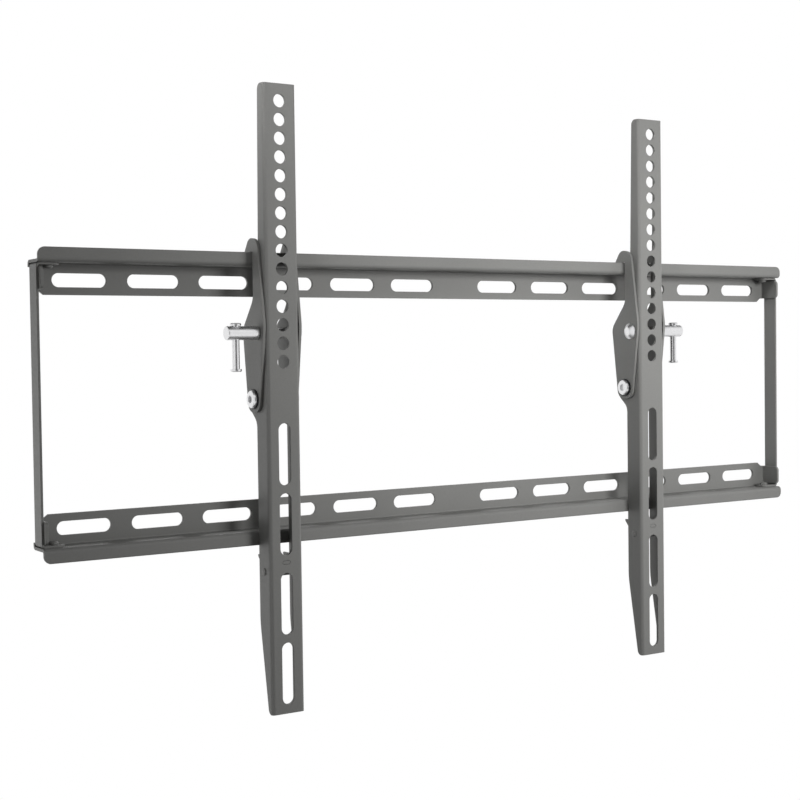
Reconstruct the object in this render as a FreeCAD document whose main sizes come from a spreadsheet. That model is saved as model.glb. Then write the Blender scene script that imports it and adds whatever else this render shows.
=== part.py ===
"""Tilting wall mount for a flat screen, as a parametric document.

A folded wall frame of two slotted rails and two end bars carries two arms. Each arm hangs on a
pair of hook plates over the upper rail's lip, turns on a pivot bolt between them, bears on the
lower rail's lip and is held at its tilt by a clamp bolt with a tommy bar.

Millimetres. X runs to the right along the rails, Y into the wall, Z up. The origin lies on the
wall, in the middle of the frame, at the height of the pivots.
"""
import FreeCAD, Part
import math
import os
import re
import Sketcher

# Driving dimensions: name, size and what it is.
SIZES = [
    ("frame_length", 658, "wall frame, end to end"),
    ("shelf_height", 92, "outer face of each rail's shelf from the middle of the frame"),
    ("rail_depth", 20, "wall to the front of the lips"),
    ("rail_sheet", 2, "sheet of the rails"),
    ("flange_drop", 22, "height of the flange on the wall, shelf included"),
    ("lip_rise", 7.5, "height of the lip beyond the shelf"),
    ("lip_flat", 0.2, "flat left between the two rounded edges of the lip"),
    ("lip_corner", 5, "radius of the lip's end corners"),
    ("bend_radius", 1, "inner radius of the folds of rails, end bars and catches"),
    ("slot_length", 37, "wall slot, end to end"),
    ("slot_width", 9, "wall slot"),
    ("slot_drop", 12.5, "shelf's outer face to the wall slots' centres"),
    ("slot_first", 39, "middle of the frame to the first wall slot's centre"),
    ("slot_end", 33.35, "end of the frame to the last wall slot's centre"),
    ("slot_count", 6, "wall slots in each half of a rail"),
    ("return_setback", 1, "front of the lip to the front of the end returns"),
    ("return_relief", 1, "end return to the foot of the end bar"),
    ("return_corner", 3, "radius of the end returns' corners"),
    ("corner_run", 4, "cut corner of the flange, along the rail"),
    ("corner_rise", 3, "cut corner of the flange, upright"),
    ("bar_sheet", 1.5, "sheet of the end bars"),
    ("bar_depth", 12.5, "width of the end bars' strip"),
    ("bar_clearance", 0.2, "end bar to the rail's inner fold"),
    ("foot_length", 16, "folded foot of an end bar"),
    ("foot_corner", 4, "radius of the feet's corners"),
    ("corner_inset", 10, "end of the frame to the corner screws"),
    ("screw_diameter", 4, "corner screws"),
    ("screw_clearance", 0.2, "round a screw or bolt in its hole"),
    ("screw_head", 6.4, "corner screws' heads, across"),
    ("screw_head_height", 2.2, "corner screws' heads"),
    ("screw_end", 0.6, "corner screw beyond its nut"),
    ("nut_flats", 7, "corner nuts, across the flats"),
    ("nut_height", 2.6, "corner nuts"),
    ("arm_offset", 166, "middle of the frame to the middle of each arm"),
    ("arm_rise", 211.5, "pivots to the top of the arms"),
    ("arm_drop", 213.4, "pivots to the bottom of the arms"),
    ("arm_width", 25, "arms, outside"),
    ("arm_front", 36, "wall to the front face of the arms"),
    ("arm_sheet", 2, "sheet of the arms"),
    ("arm_bend", 0.5, "inner radius of the arms' folds"),
    ("arm_top_depth", 8, "depth of an arm's flanges at the top"),
    ("arm_neck_depth", 11.5, "depth of an arm's flanges above the ears"),
    ("arm_end_depth", 5, "depth of an arm's flanges at the bottom"),
    ("arm_taper", 61.4, "length of the taper at the bottom of an arm"),
    ("arm_corner", 4, "radius of the flanges' end corners"),
    ("lip_clearance", 0.4, "arm to the lower lip that it bears on"),
    ("hole_diameter", 9, "screen bolt holes"),
    ("hole_pitch", 12.5, "screen bolt holes"),
    ("hole_end", 11.5, "top of an arm to its first hole"),
    ("hole_count", 15, "screen bolt holes in an arm"),
    ("arm_slot_length", 42, "upper pair of screen bolt slots, end to end"),
    ("arm_slot_width", 9, "screen bolt slots"),
    ("arm_slot_end", 6.3, "bottom of an arm to its last slot"),
    ("arm_slot_bridge", 5.4, "between the two slots of a pair"),
    ("catch_bridge", 12, "between the two pairs of slots, where the catch sits"),
    ("ear_start", 64, "pivot to the upper corner of the ears"),
    ("ear_heel", 50, "pivot to the rear corner of the ears"),
    ("ear_gap", 6.6, "wall to the rear corner of the ears"),
    ("ear_half", 8.6, "pivot to the rear edge of the ears"),
    ("ear_drop", 8, "pivot to the lower corner of the ears"),
    ("ear_flare", 15.5, "pivot to the end of the flare under the ears"),
    ("ear_round", 8, "radius of the ears' corners"),
    ("ear_neck_sweep", 26, "radius of the hollow curve above the ears"),
    ("ear_sweep", 9, "radius of the hollow curve under the ears"),
    ("plate_sheet", 2, "hook plates"),
    ("plate_gap", 0.2, "hook plate to arm"),
    ("notch_gap", 1.5, "lip to the front edge of the notch"),
    ("seat_clearance", 0.3, "lip to the seat of the hook"),
    ("notch_corner", 1.2, "radius of the notch's corners"),
    ("finger_gap", 0.5, "lip to the finger behind it, at the seat"),
    ("finger_lean", 1.1, "slope of the finger's inner edge"),
    ("finger_drop", 6, "seat to the tip of the finger"),
    ("finger_width", 8.8, "finger at its tip"),
    ("finger_rise", 2.4, "slope of the finger's tip"),
    ("finger_corner", 2.5, "radius of the finger's rear corner"),
    ("crown_rise", 10.2, "lip to the top of the hook"),
    ("crown_back", 3.5, "front of the lip to the rear end of the crown"),
    ("crown_front", 8.3, "front of the lip to the front end of the crown"),
    ("crown_drop", 2.5, "fall of the crown towards its front end"),
    ("crown_rear_radius", 7, "rear curve of the crown"),
    ("crown_front_radius", 8, "front curve of the crown"),
    ("peak_height", 49, "pivot to the foremost point of the hook plate"),
    ("peak_inset", 0.1, "front of the arm to the foremost point of the hook plate"),
    ("peak_radius", 30, "curve of the hook plate's front edge"),
    ("shoulder_height", 67.5, "pivot to the start of the hook plate's swelling"),
    ("shoulder_radius", 12, "curve at the start of the swelling"),
    ("heel_height", 47.5, "pivot to the rearmost corner of the hook plate"),
    ("heel_gap", 5.6, "wall to the rearmost corner of the hook plate"),
    ("heel_radius", 10, "curve of the rearmost corner"),
    ("toe_half", 8, "pivot to the sides of the hook plate's round end"),
    ("toe_drop", 9, "pivot to the bottom of the hook plate"),
    ("toe_radius", 7.2, "curves of the hook plate's round end"),
    ("pivot_diameter", 8, "sleeve that the arm turns on"),
    ("pivot_clearance", 0.08, "arm round the pivot sleeve"),
    ("pivot_screw", 5, "screw inside the pivot sleeve"),
    ("pivot_thread", 20, "screw's length inside the sleeve"),
    ("sleeve_slack", 0.1, "end of the pivot sleeve to the far head"),
    ("pivot_head", 12.2, "pivot heads, across"),
    ("pivot_head_height", 2.2, "pivot heads"),
    ("pivot_head_rim", 0.6, "straight rim of the pivot heads"),
    ("socket_flats", 5, "hexagon socket, across the flats"),
    ("socket_depth", 1.4, "hexagon socket"),
    ("washer_diameter", 13.6, "washers under the pivot heads"),
    ("washer_thickness", 0.8, "washers under the pivot heads"),
    ("clamp_reach", 45.2, "pivot to the clamp bolt"),
    ("clamp_lean", 8.65, "clamp bolt forward of the pivot, in degrees"),
    ("clamp_diameter", 6, "clamp bolt"),
    ("clamp_slack", 0.3, "clamp bolt to the sides of the curved slot"),
    ("clamp_thread", 12.5, "clamp bolt's length inside the handle"),
    ("clamp_head", 12.4, "clamp bolt's domed head, across"),
    ("clamp_head_height", 3.4, "clamp bolt's domed head"),
    ("tilt_travel", 19.6, "turn of the arm against the hook plates, in degrees"),
    ("handle_diameter", 9.5, "clamp handle's sleeve"),
    ("handle_length", 23.5, "clamp handle's sleeve"),
    ("handle_edge", 0.8, "rounded ends of the clamp handle"),
    ("handle_slack", 0.1, "clamp handle to hook plate"),
    ("tommy_reach", 16.4, "hook plate to the tommy bar"),
    ("tommy_diameter", 5, "tommy bar"),
    ("tommy_clearance", 0.12, "round the tommy bar in its hole"),
    ("tommy_length", 29, "tommy bar between its heads"),
    ("tommy_head", 7.6, "tommy bar's heads, across"),
    ("tommy_head_height", 1.8, "tommy bar's heads"),
    ("tommy_rest", 0.2, "tommy bar's upper head to the handle that it rests on"),
    ("catch_sheet", 1.5, "sheet of the safety catch"),
    ("catch_clearance", 0.1, "safety catch to the arm's flanges"),
    ("catch_gap", 6.8, "lower lip to the top of the catch"),
    ("catch_inset", 0.6, "last slot above the catch to the top of the catch"),
    ("catch_reach", 5.8, "tooth beyond the arm's rear edge"),
    ("tooth_tip", 1.2, "blunt tip of the tooth"),
    ("tooth_slope", 8, "top of the catch to the foot of the tooth's slope"),
    ("catch_base", 9.6, "catch's height against the arm's front"),
    ("catch_cheek", 13.6, "catch's height on the arm's flanges"),
    ("cheek_front", 4, "arm's rear edge to the cheek's rear lower corner"),
    ("cheek_run", 8, "cheek's lower edge"),
    ("tab_width", 5.6, "tab of the catch in the arm's front"),
    ("tab_height", 2.1, "tab of the catch"),
    ("tab_drop", 4.3, "top of the catch to the tab's middle"),
    ("tab_clearance", 0.2, "round the tab"),
    ("rivet_diameter", 3, "catch rivets"),
    ("rivet_head", 5, "catch rivets' heads, across"),
    ("rivet_head_height", 0.9, "catch rivets' heads"),
    ("rivet_drop", 10.6, "top of the catch to the rivets"),
    ("rivet_inset", 7, "arm's rear edge to the rivets"),
    ("margin", 2, "how far cutting outlines run past what they cut"),
]

SIDES = [("left", -1), ("right", 1)]
RAILS = [("upper", 1), ("lower", -1)]

# Places worked out from the driving dimensions.
HALF_LENGTH = "(frame_length / 2)"
LIP_TOP = "(shelf_height + lip_rise)"
SHELF_INNER = "(shelf_height - rail_sheet)"
FLANGE_EDGE = "(shelf_height - flange_drop)"
RAIL_OUTER_BEND = "(bend_radius + rail_sheet)"
BAR_OUTER_BEND = "(bend_radius + bar_sheet)"
FOOT_INNER = f"({SHELF_INNER} - bar_sheet)"
RETURN_OUTER = f"({HALF_LENGTH} - bar_sheet)"
RETURN_TOP = f"({FOOT_INNER} - return_relief)"
RETURN_BOTTOM = f"({FLANGE_EDGE} + corner_rise)"
RETURN_START = f"({RETURN_OUTER} - {RAIL_OUTER_BEND} - bend_radius)"
BAR_BACK = "(rail_sheet + bend_radius + bar_clearance)"
SCREW_BACK = f"({BAR_BACK} + bar_depth / 2)"
SLOT_PITCH = f"(({HALF_LENGTH} - slot_end - slot_first) / (slot_count - 1))"
HALF_WIDTH = "(arm_width / 2)"
PIVOT_BACK = "(rail_depth + lip_clearance)"
PLATE_INNER = f"({HALF_WIDTH} + plate_gap)"
PLATE_OUTER = f"({PLATE_INNER} + plate_sheet)"
CLAMP_BACK = f"({PIVOT_BACK} + clamp_reach * sin(clamp_lean))"
CLAMP_HEIGHT = "(clamp_reach * cos(clamp_lean))"
SEAT = f"({LIP_TOP} + seat_clearance)"
FINGER_INNER = "(rail_depth - rail_sheet - finger_gap)"
CATCH_TOP = f"(-{LIP_TOP} - catch_gap)"
BRIDGE_TOP = f"({CATCH_TOP} + catch_inset)"
BRIDGE_BOTTOM = f"({BRIDGE_TOP} - catch_bridge)"
LOWER_SLOT_LENGTH = f"((arm_drop + {BRIDGE_BOTTOM} - arm_slot_end - arm_slot_bridge) / 2)"
ARM_INNER = "(arm_front - arm_sheet)"

doc = FreeCAD.newDocument("WallMount")
sheet = doc.addObject("Spreadsheet::Sheet", "Sizes")
for row, (alias, size, note) in enumerate(SIZES, start=1):
    sheet.set(f"A{row}", note)
    sheet.set(f"B{row}", str(size))
    sheet.setAlias(f"B{row}", alias)
doc.recompute()

ALIASES = {alias for alias, size, note in SIZES}
sub_parts = []


def number(formula):
    """Value of a formula of sheet names."""
    return float(sheet.evalExpression(formula))


def bound(formula):
    """The formula with each name pointing at its cell in the sheet."""
    def in_sheet(word):
        return f"Sizes.{word[0]}" if word[0] in ALIASES else word[0]

    return re.sub(r"[a-z_]+", in_sheet, formula)


def tie(item, path, formula):
    """Bind one property or constraint to a formula of sheet names."""
    item.setExpression(path, bound(formula))


# Sketches

def new_body(label):
    body = doc.addObject("PartDesign::Body", label)
    body.Label = label
    return body


def origin_feature(body, role):
    return next(feature for feature in body.Origin.OriginFeatures if feature.Role == role)


def new_sketch(body, name, plane, offset=None):
    """Sketch on one of the body's own planes, moved along its normal by a formula."""
    sketch = body.newObject("Sketcher::SketchObject", f"{body.Label}_{name}")
    sketch.AttachmentSupport = (origin_feature(body, plane), [""])
    sketch.MapMode = "FlatFace"
    if offset:
        tie(sketch, "AttachmentOffset.Base.z", offset)
    return sketch


def constrain(sketch, formula, kind, *where):
    """Add a dimension and bind it to a formula."""
    index = sketch.addConstraint(Sketcher.Constraint(kind, *where, number(formula)))
    tie(sketch, f"Constraints[{index}]", formula)


def place(sketch, geometry, end, across, up):
    """Fix a point of the sketch at two formulas from its origin."""
    constrain(sketch, across, "DistanceX", -1, 1, geometry, end)
    constrain(sketch, up, "DistanceY", -1, 1, geometry, end)


def arc_between(centre, radius, first, last, turns_left):
    """Arc from first to last round the centre, drawn anticlockwise."""
    start, end = (first, last) if turns_left else (last, first)
    angles = [math.atan2(point.y - centre.y, point.x - centre.x) for point in (start, end)]
    if angles[1] < angles[0]:
        angles[1] += 2 * math.pi
    circle = Part.Circle(centre, FreeCAD.Vector(0, 0, 1), radius)
    return Part.ArcOfCircle(circle, *angles)


def draw_outline(sketch, corners):
    """Closed outline of straight sides. Each corner is (across, up) or (across, up, radius)."""
    points = [FreeCAD.Vector(number(corner[0]), number(corner[1]), 0) for corner in corners]
    count = len(corners)
    arrivals, departures, arcs = [], [], {}
    for index, corner in enumerate(corners):
        point = points[index]
        if len(corner) == 2:
            arrivals.append(point)
            departures.append(point)
            continue
        back = (points[index - 1] - point).normalize()
        ahead = (points[(index + 1) % count] - point).normalize()
        half_angle = back.getAngle(ahead) / 2
        radius = number(corner[2])
        centre = point + (back + ahead).normalize() * (radius / math.sin(half_angle))
        reach = radius / math.tan(half_angle)
        arrivals.append(point + back * reach)
        departures.append(point + ahead * reach)
        turns_left = back.cross(ahead).z < 0
        arc = arc_between(centre, radius, arrivals[-1], departures[-1], turns_left)
        arcs[index] = (arc, turns_left)
    lines = []
    for index in range(count):
        side = Part.LineSegment(departures[index], arrivals[(index + 1) % count])
        lines.append(sketch.addGeometry(side))
    for index, corner in enumerate(corners):
        before, after = lines[index - 1], lines[index]
        if index not in arcs:
            sketch.addConstraint(Sketcher.Constraint("Coincident", before, 2, after, 1))
            place(sketch, after, 1, corner[0], corner[1])
            continue
        shape, turns_left = arcs[index]
        first, last = (1, 2) if turns_left else (2, 1)
        arc = sketch.addGeometry(shape)
        sharp = sketch.addGeometry(Part.Point(points[index]), True)
        sketch.addConstraint(Sketcher.Constraint("Tangent", before, 2, arc, first))
        sketch.addConstraint(Sketcher.Constraint("Tangent", arc, last, after, 1))
        sketch.addConstraint(Sketcher.Constraint("PointOnObject", sharp, 1, before))
        sketch.addConstraint(Sketcher.Constraint("PointOnObject", sharp, 1, after))
        place(sketch, sharp, 1, corner[0], corner[1])
        constrain(sketch, corner[2], "Radius", arc)


def draw_circle(sketch, across, up, radius):
    centre = FreeCAD.Vector(number(across), number(up), 0)
    circle = sketch.addGeometry(Part.Circle(centre, FreeCAD.Vector(0, 0, 1), number(radius)))
    place(sketch, circle, 3, across, up)
    constrain(sketch, radius, "Radius", circle)


def draw_slot(sketch, across, up, length, width, upright):
    """Straight slot with round ends, centred on a point."""
    reach = f"(({length}) - ({width})) / 2"
    radius = f"({width}) / 2"
    if upright:
        ends = [(across, f"({up}) + {reach}"), (across, f"({up}) - {reach}")]
        start_angle = 0
    else:
        ends = [(f"({across}) - {reach}", up), (f"({across}) + {reach}", up)]
        start_angle = math.pi / 2
    arcs = []
    for half_turns, (end_across, end_up) in enumerate(ends):
        centre = FreeCAD.Vector(number(end_across), number(end_up), 0)
        circle = Part.Circle(centre, FreeCAD.Vector(0, 0, 1), number(radius))
        low = start_angle + half_turns * math.pi
        arc = sketch.addGeometry(Part.ArcOfCircle(circle, low, low + math.pi))
        place(sketch, arc, 3, end_across, end_up)
        constrain(sketch, radius, "Radius", arc)
        arcs.append(arc)
    for near, far in (arcs, arcs[::-1]):
        start = sketch.getPoint(near, 2)
        end = sketch.getPoint(far, 1)
        line = sketch.addGeometry(Part.LineSegment(start, end))
        sketch.addConstraint(Sketcher.Constraint("Tangent", near, 2, line, 1))
        sketch.addConstraint(Sketcher.Constraint("Tangent", line, 2, far, 1))


def draw_curved_slot(sketch, pivot, reach, half_width, angles):
    """Slot along an arc round a pivot, between two angles from upright."""
    pivot_across, pivot_up = pivot
    normal = FreeCAD.Vector(0, 0, 1)
    centre = FreeCAD.Vector(number(pivot_across), number(pivot_up), 0)
    low, high = [math.radians(90 - number(angle)) for angle in angles]
    width = number(half_width)
    outer, inner = [
        sketch.addGeometry(Part.ArcOfCircle(Part.Circle(centre, normal, radius), low, high))
        for radius in (number(reach) + width, number(reach) - width)
    ]
    place(sketch, outer, 3, pivot_across, pivot_up)
    constrain(sketch, pivot_up, "DistanceY", -1, 1, inner, 3)
    caps = []
    for angle, start in ((low, low + math.pi), (high, high)):
        middle = centre + FreeCAD.Vector(math.cos(angle), math.sin(angle), 0) * number(reach)
        cap = Part.ArcOfCircle(Part.Circle(middle, normal, width), start, start + math.pi)
        caps.append(sketch.addGeometry(cap))
    for cap, angle in zip(caps, angles):
        place(sketch, cap, 3, f"{pivot_across} + {reach} * sin({angle})",
              f"{pivot_up} + {reach} * cos({angle})")
    sketch.addConstraint(Sketcher.Constraint("Tangent", caps[0], 2, outer, 1))
    sketch.addConstraint(Sketcher.Constraint("Tangent", outer, 2, caps[1], 1))
    sketch.addConstraint(Sketcher.Constraint("Tangent", caps[1], 2, inner, 2))
    sketch.addConstraint(Sketcher.Constraint("Tangent", inner, 1, caps[0], 1))
    constrain(sketch, half_width, "Radius", caps[0])


# Features

def pad(body, sketch, length, symmetric=False):
    feature = body.newObject("PartDesign::Pad", f"{sketch.Label}_pad")
    feature.Profile = sketch
    feature.SideType = "Symmetric" if symmetric else "One side"
    tie(feature, "Length", length)
    doc.recompute()
    return feature


def cut_through(body, sketch):
    """Cut the sketch both ways through the body, and make sure that it removes something."""
    before = body.Shape.Volume
    feature = body.newObject("PartDesign::Pocket", f"{sketch.Label}_cut")
    feature.Profile = sketch
    feature.Type = "ThroughAll"
    feature.SideType = "Symmetric"
    doc.recompute()
    if body.Shape.Volume >= before:
        raise RuntimeError(f"{sketch.Label} cuts nothing")
    return feature


def cut_blind(body, sketch, depth):
    """Cut the sketch against its normal to a depth, and make sure that it removes something."""
    before = body.Shape.Volume
    feature = body.newObject("PartDesign::Pocket", f"{sketch.Label}_cut")
    feature.Profile = sketch
    tie(feature, "Length", depth)
    doc.recompute()
    if body.Shape.Volume >= before:
        raise RuntimeError(f"{sketch.Label} cuts nothing")
    return feature


def repeat(body, feature, axis, pitch, count, backwards=False):
    """Row of copies of one cut along an axis of the body."""
    pattern = body.newObject("PartDesign::LinearPattern", f"{feature.Label}_row")
    pattern.Originals = [feature]
    pattern.Direction = (origin_feature(body, axis), [""])
    pattern.Mode = "Spacing"
    pattern.Reversed = backwards
    tie(pattern, "Offset", pitch)
    tie(pattern, "Occurrences", count)
    body.Tip = pattern
    doc.recompute()
    return pattern


def round_edges(body, radius, chosen):
    """Fillet the body's edges whose two ends both pass the test."""
    base = body.Tip
    names = []
    for index, edge in enumerate(base.Shape.Edges, start=1):
        ends = [vertex.Point for vertex in edge.Vertexes]
        if len(ends) == 2 and chosen(*ends):
            names.append(f"Edge{index}")
    feature = body.newObject("PartDesign::Fillet", f"{base.Label}_round")
    feature.Base = (base, names)
    tie(feature, "Radius", radius)
    body.Tip = feature
    doc.recompute()
    return feature


def turn(body, corners):
    """Solid of revolution about the body's X axis. Corners are (along, radius)."""
    sketch = new_sketch(body, "profile", "XY_Plane")
    draw_outline(sketch, corners)
    feature = body.newObject("PartDesign::Revolution", f"{body.Label}_turn")
    feature.Profile = sketch
    feature.ReferenceAxis = (sketch, ["H_Axis"])
    doc.recompute()
    return feature


def draw_hexagon(sketch, flats):
    """Hexagon round the sketch's origin, with two corners upright."""
    corners = [(f"{flats} / sqrt(3) * sin({angle})", f"{flats} / sqrt(3) * cos({angle})")
               for angle in range(0, 360, 60)]
    draw_outline(sketch, corners)


def same(value, formula):
    return abs(value - number(formula)) < 1e-4


def put(item, across, back, up, direction=FreeCAD.Vector(1, 0, 0)):
    """Place a sub-part by formulas, with its X axis turned to a direction."""
    turned = FreeCAD.Rotation(FreeCAD.Vector(1, 0, 0), direction)
    item.Placement = FreeCAD.Placement(FreeCAD.Vector(), turned)
    tie(item, "Placement.Base.x", across)
    tie(item, "Placement.Base.y", f"-{back}")
    tie(item, "Placement.Base.z", up)


def sideways(sign):
    return FreeCAD.Vector(sign, 0, 0)


def keep(item):
    """Note a finished sub-part."""
    sub_parts.append(item)
    return item


def group(label, items):
    """One sub-part of several separate solids."""
    compound = doc.addObject("Part::Compound", label)
    compound.Label = label
    compound.Links = items
    return keep(compound)


# Wall frame

def make_rail(label, sign):
    """Folded rail: slotted flange on the wall, shelf, lip and a return at each end."""
    up = "1" if sign > 0 else "(-1)"
    body = new_body(label)
    section = new_sketch(body, "section", "YZ_Plane")
    edge = "((rail_sheet - lip_flat) / 2)"
    outline = [
        ("0", FLANGE_EDGE),
        ("0", "shelf_height", RAIL_OUTER_BEND),
        ("-(rail_depth - rail_sheet)", "shelf_height", "bend_radius"),
        ("-(rail_depth - rail_sheet)", LIP_TOP, edge),
        ("-rail_depth", LIP_TOP, edge),
        ("-rail_depth", SHELF_INNER, RAIL_OUTER_BEND),
        ("-rail_sheet", SHELF_INNER, "bend_radius"),
        ("-rail_sheet", FLANGE_EDGE),
    ]
    draw_outline(section, [(corner[0], f"{up} * {corner[1]}", *corner[2:]) for corner in outline])
    pad(body, section, "frame_length", symmetric=True)
    for end in ("1", "(-1)"):
        trim_rail_end(body, end, up)
    round_edges(body, "return_corner", is_return_corner)
    for end in (1, -1):
        slot = new_sketch(body, f"slot_{'right' if end > 0 else 'left'}", "XZ_Plane")
        draw_slot(slot, f"{end} * slot_first", f"{up} * (shelf_height - slot_drop)",
                  "slot_length", "slot_width", upright=False)
        cut = cut_through(body, slot)
        repeat(body, cut, "X_Axis", SLOT_PITCH, "slot_count", backwards=end < 0)
    holes = new_sketch(body, "screw_holes", "XY_Plane")
    for end in ("1", "(-1)"):
        draw_circle(holes, f"{end} * ({HALF_LENGTH} - corner_inset)", f"-{SCREW_BACK}",
                    "screw_diameter / 2 + screw_clearance")
    cut_through(body, holes)
    return keep(body)


def trim_rail_end(body, end, up):
    """Cut the flange's end back, fold a return forward there and round the lip's corner."""
    name = "right" if end == "1" else "left"
    flange_cut = new_sketch(body, f"flange_{name}", "XZ_Plane")
    draw_outline(flange_cut, [
        (f"{end} * ({HALF_LENGTH} + margin)", f"{up} * {RETURN_TOP}"),
        (f"{end} * {RETURN_START}", f"{up} * {RETURN_TOP}"),
        (f"{end} * {RETURN_START}", f"{up} * {RETURN_BOTTOM}"),
        (f"{end} * ({RETURN_START} - corner_run)", f"{up} * {FLANGE_EDGE}"),
        (f"{end} * ({RETURN_START} - corner_run)", f"{up} * ({FLANGE_EDGE} - margin)"),
        (f"{end} * ({HALF_LENGTH} + margin)", f"{up} * ({FLANGE_EDGE} - margin)"),
    ])
    cut_through(body, flange_cut)
    lip_cut = new_sketch(body, f"lip_{name}", "XZ_Plane")
    draw_outline(lip_cut, [
        (f"{end} * ({HALF_LENGTH} + margin)", f"{up} * ({LIP_TOP} + margin)"),
        (f"{end} * ({HALF_LENGTH} + margin)", f"{up} * ({LIP_TOP} - lip_corner)"),
        (f"{end} * {HALF_LENGTH}", f"{up} * ({LIP_TOP} - lip_corner)"),
        (f"{end} * {HALF_LENGTH}", f"{up} * {LIP_TOP}", "lip_corner - lip_flat"),
        (f"{end} * ({HALF_LENGTH} - lip_corner)", f"{up} * {LIP_TOP}"),
        (f"{end} * ({HALF_LENGTH} - lip_corner)", f"{up} * ({LIP_TOP} + margin)"),
    ])
    cut_through(body, lip_cut)
    low = RETURN_BOTTOM if up == "1" else f"-{RETURN_TOP}"
    fold = new_sketch(body, f"return_{name}", "XY_Plane", low)
    draw_outline(fold, [
        (f"{end} * {RETURN_START}", "0"),
        (f"{end} * {RETURN_OUTER}", "0", RAIL_OUTER_BEND),
        (f"{end} * {RETURN_OUTER}", "-(rail_depth - return_setback)"),
        (f"{end} * ({RETURN_OUTER} - rail_sheet)", "-(rail_depth - return_setback)"),
        (f"{end} * ({RETURN_OUTER} - rail_sheet)", "-rail_sheet", "bend_radius"),
        (f"{end} * {RETURN_START}", "-rail_sheet"),
    ])
    pad(body, fold, f"{RETURN_TOP} - {RETURN_BOTTOM}")


def is_return_corner(start, end):
    """Whether an edge runs across the sheet at a front corner of an end return."""
    front = "-(rail_depth - return_setback)"
    at_front = same(start.y, front) and same(end.y, front)
    level = abs(start.z - end.z) < 1e-4
    return at_front and level and abs(start.z) < number(FOOT_INNER)


def make_end_bar(label, sign):
    """Strip between the rails, with both ends folded inwards as feet."""
    body = new_body(label)
    section = new_sketch(body, "section", "XZ_Plane", BAR_BACK)
    out = "1" if sign > 0 else "(-1)"
    inner = f"{out} * ({HALF_LENGTH} - bar_sheet)"
    tip = f"{out} * ({HALF_LENGTH} - foot_length)"
    draw_outline(section, [
        (tip, SHELF_INNER),
        (f"{out} * {HALF_LENGTH}", SHELF_INNER, BAR_OUTER_BEND),
        (f"{out} * {HALF_LENGTH}", f"-{SHELF_INNER}", BAR_OUTER_BEND),
        (tip, f"-{SHELF_INNER}"),
        (tip, f"-{FOOT_INNER}"),
        (inner, f"-{FOOT_INNER}", "bend_radius"),
        (inner, FOOT_INNER, "bend_radius"),
        (tip, FOOT_INNER),
    ])
    pad(body, section, "bar_depth")
    round_edges(body, "foot_corner",
                lambda a, b: same(a.x, tip) and same(b.x, tip) and abs(a.y - b.y) < 1e-4)
    holes = new_sketch(body, "screw_holes", "XY_Plane")
    draw_circle(holes, f"{out} * ({HALF_LENGTH} - corner_inset)", f"-{SCREW_BACK}",
                "screw_diameter / 2 + screw_clearance")
    cut_through(body, holes)
    return keep(body)


def make_corner_fasteners():
    """A screw through each foot and shelf, with its head on the foot and a nut on the shelf."""
    grip = "(bar_sheet + rail_sheet)"
    screws, nuts = [], []
    for rail, up in RAILS:
        for side, out in SIDES:
            across = f"{out} * ({HALF_LENGTH} - corner_inset)"
            screw = new_body(f"{rail}_{side}_screw")
            turn(screw, [
                ("0", "0"),
                (f"{grip} + nut_height + screw_end", "0"),
                (f"{grip} + nut_height + screw_end", "screw_diameter / 2"),
                ("0", "screw_diameter / 2"),
                ("0", "screw_head / 2"),
                ("-screw_head_height", "screw_head / 2", "screw_head_height / 2"),
                ("-screw_head_height", "0"),
            ])
            put(screw, across, SCREW_BACK, f"{up} * {FOOT_INNER}", FreeCAD.Vector(0, 0, up))
            screws.append(screw)
            nut = new_body(f"{rail}_{side}_nut")
            hexagon = new_sketch(nut, "hexagon", "YZ_Plane")
            draw_hexagon(hexagon, "nut_flats")
            draw_circle(hexagon, "0", "0", "screw_diameter / 2 + screw_clearance")
            pad(nut, hexagon, "nut_height")
            put(nut, across, SCREW_BACK, f"{up} * shelf_height", FreeCAD.Vector(0, 0, up))
            nuts.append(nut)
    group("corner_screws", screws)
    group("corner_nuts", nuts)


# Arms

def make_channel(body, silhouette, width, sheet_size, bend, inner_front):
    """Folded U-channel, open to the rear, cut to a silhouette seen from the side."""
    side_view = new_sketch(body, "side", "YZ_Plane")
    draw_outline(side_view, silhouette)
    pad(body, side_view, width, symmetric=True)
    front = silhouette[0][0]
    round_edges(body, f"{bend} + {sheet_size}",
                lambda a, b: same(a.y, front) and same(b.y, front) and abs(a.x - b.x) < 1e-4)
    hollow = new_sketch(body, "hollow", "XY_Plane")
    half = f"({width}) / 2 - {sheet_size}"
    draw_outline(hollow, [
        (f"-({half})", "margin"),
        (f"-({half})", f"-{inner_front}", bend),
        (half, f"-{inner_front}", bend),
        (half, "margin"),
    ])
    cut_through(body, hollow)


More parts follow.
